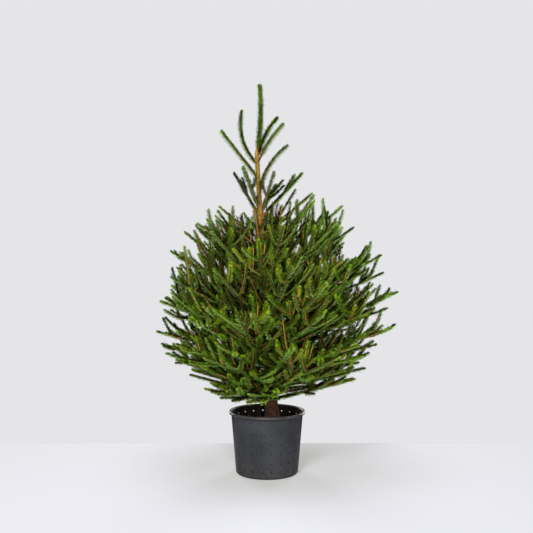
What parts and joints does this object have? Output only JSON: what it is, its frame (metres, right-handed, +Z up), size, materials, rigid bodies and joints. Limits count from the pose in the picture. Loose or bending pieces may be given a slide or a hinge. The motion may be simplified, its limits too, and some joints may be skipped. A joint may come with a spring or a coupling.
{
  "type": "potted norway spruce, grown as a christmas tree",
  "caption": "Young spruce with a leaning tapered trunk, a bare spire and a full rounded crown, rooted in a perforated round nursery pot that stands on its flat underside.",
  "frame": {"origin": "middle of the pot's flat underside, on the surface that it stands on", "axes": "+Z up along the tree, -Y towards the side that the picture shows, +X to the right in the picture"},
  "size_m": [0.9506, 0.8181, 1.523],
  "materials": {
    "pot": "dark bluish grey moulded plastic with a slight sheen, dusty at the rim",
    "compost": "dark brown crumbly compost",
    "bark": "thin scaly bark, reddish brown below and golden ochre towards the top",
    "needles": "short stiff green needles with a soft sheen on orange-brown twigs"
  },
  "bodies": {
    "root": {"pot": "pot", "compost": "compost", "trunk": "bark", "foliage_leader": "needles", "foliage_top_1": "needles", "foliage_top_2": "needles", "foliage_top_3": "needles", "foliage_top_4": "needles", "foliage_top_5": "needles", "foliage_spire_1": "needles", "foliage_spire_2": "needles", "foliage_spire_3": "needles", "foliage_spire_4": "needles", "foliage_spire_5": "needles", "foliage_shoulder_1": "needles", "foliage_shoulder_2": "needles", "foliage_shoulder_3": "needles", "foliage_shoulder_4": "needles", "foliage_shoulder_5": "needles", "foliage_shoulder_6": "needles", "bough_upper_1": "bark", "foliage_upper_1": "needles", "bough_upper_2": "bark", "foliage_upper_2": "needles", "bough_upper_3": "bark", "foliage_upper_3": "needles", "bough_upper_4": "bark", "foliage_upper_4": "needles", "bough_upper_5": "bark", "foliage_upper_5": "needles", "bough_middle_1": "bark", "foliage_middle_1": "needles", "bough_middle_2": "bark", "foliage_middle_2": "needles", "bough_middle_3": "bark", "foliage_middle_3": "needles", "bough_middle_4": "bark", "foliage_middle_4": "needles", "bough_middle_5": "bark", "foliage_middle_5": "needles", "bough_lower_1": "bark", "foliage_lower_1": "needles", "bough_lower_2": "bark", "foliage_lower_2": "needles", "bough_lower_3": "bark", "foliage_lower_3": "needles", "bough_lower_4": "bark", "foliage_lower_4": "needles", "bough_lower_5": "bark", "foliage_lower_5": "needles", "foliage_skirt_1": "needles", "foliage_skirt_2": "needles", "foliage_skirt_3": "needles", "foliage_skirt_4": "needles", "foliage_skirt_5": "needles", "foliage_hem_1": "needles", "foliage_hem_2": "needles", "foliage_hem_3": "needles", "foliage_hem_4": "needles"}
  },
  "joints": []
}
